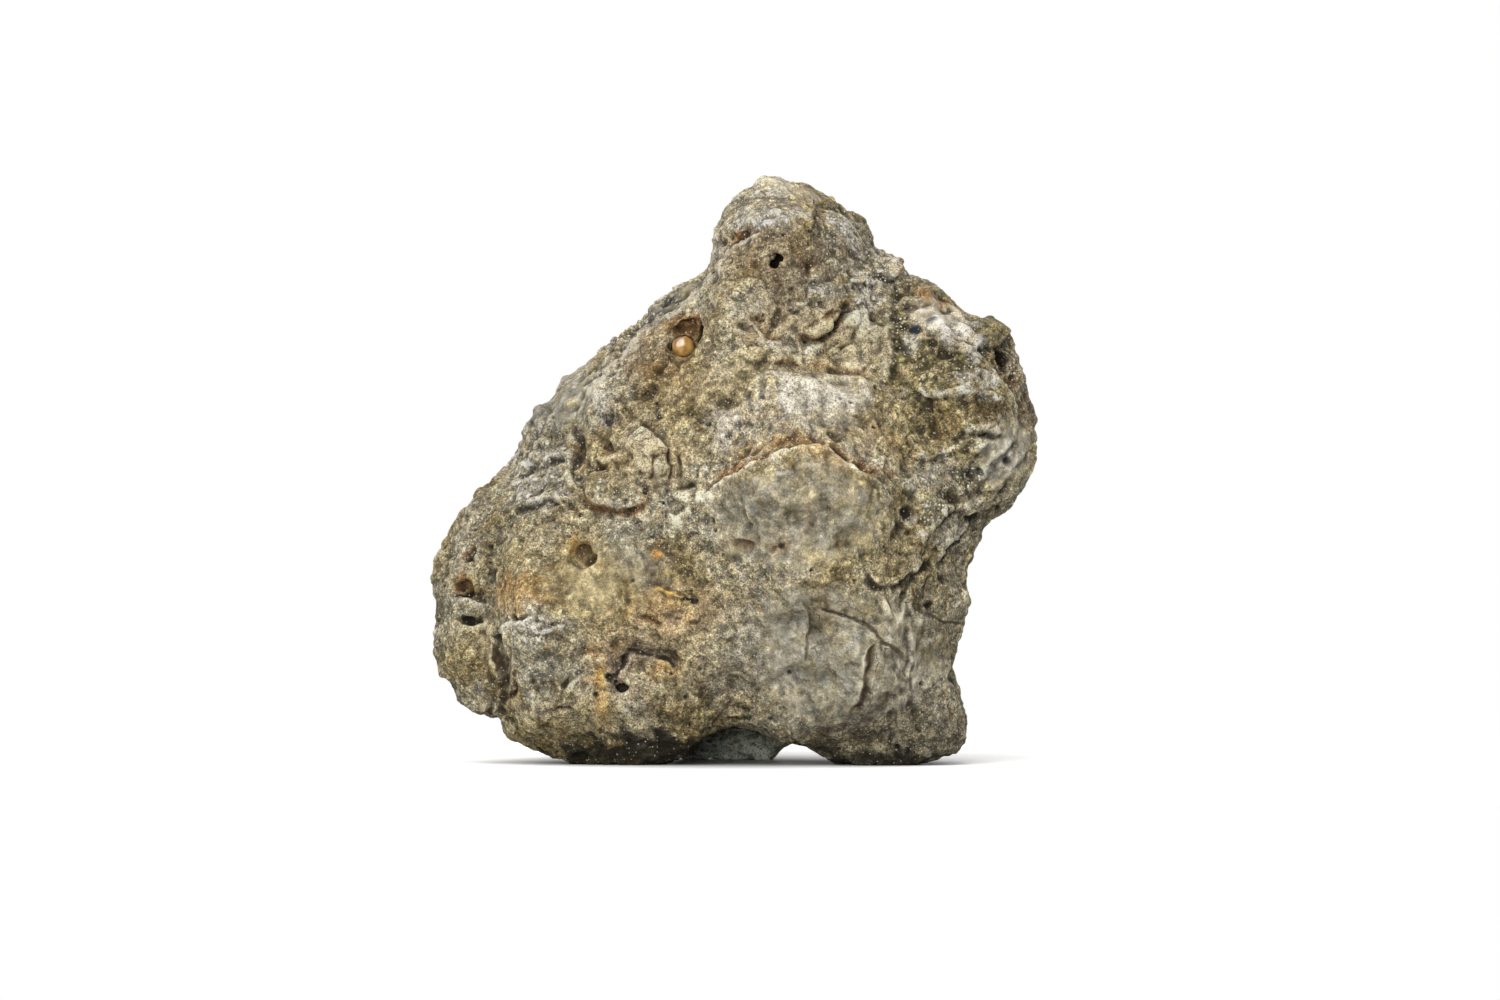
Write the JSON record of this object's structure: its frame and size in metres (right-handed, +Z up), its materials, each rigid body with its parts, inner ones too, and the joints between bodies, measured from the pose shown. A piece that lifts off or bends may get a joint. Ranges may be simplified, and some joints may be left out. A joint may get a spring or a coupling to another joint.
{
  "type": "lunar meteorite",
  "caption": "Small weathered lump of breccia standing on three low feet, with a jutting front boss, a rounded side lobe and a sand grain caught in a pit.",
  "frame": {"origin": "on the surface that the stone stands on, under the middle of its bounding box", "axes": "+X to the right and +Y to the back, seen from the pictured side, +Z up"},
  "size_m": [0.018, 0.013, 0.0175],
  "materials": {
    "stone": "matte weathered surface, with ochre stains, cream clasts and fine sparkle",
    "grain": "glossy amber quartz"
  },
  "bodies": {
    "root": {"stone": "stone", "sand_grain": "grain"}
  },
  "joints": []
}
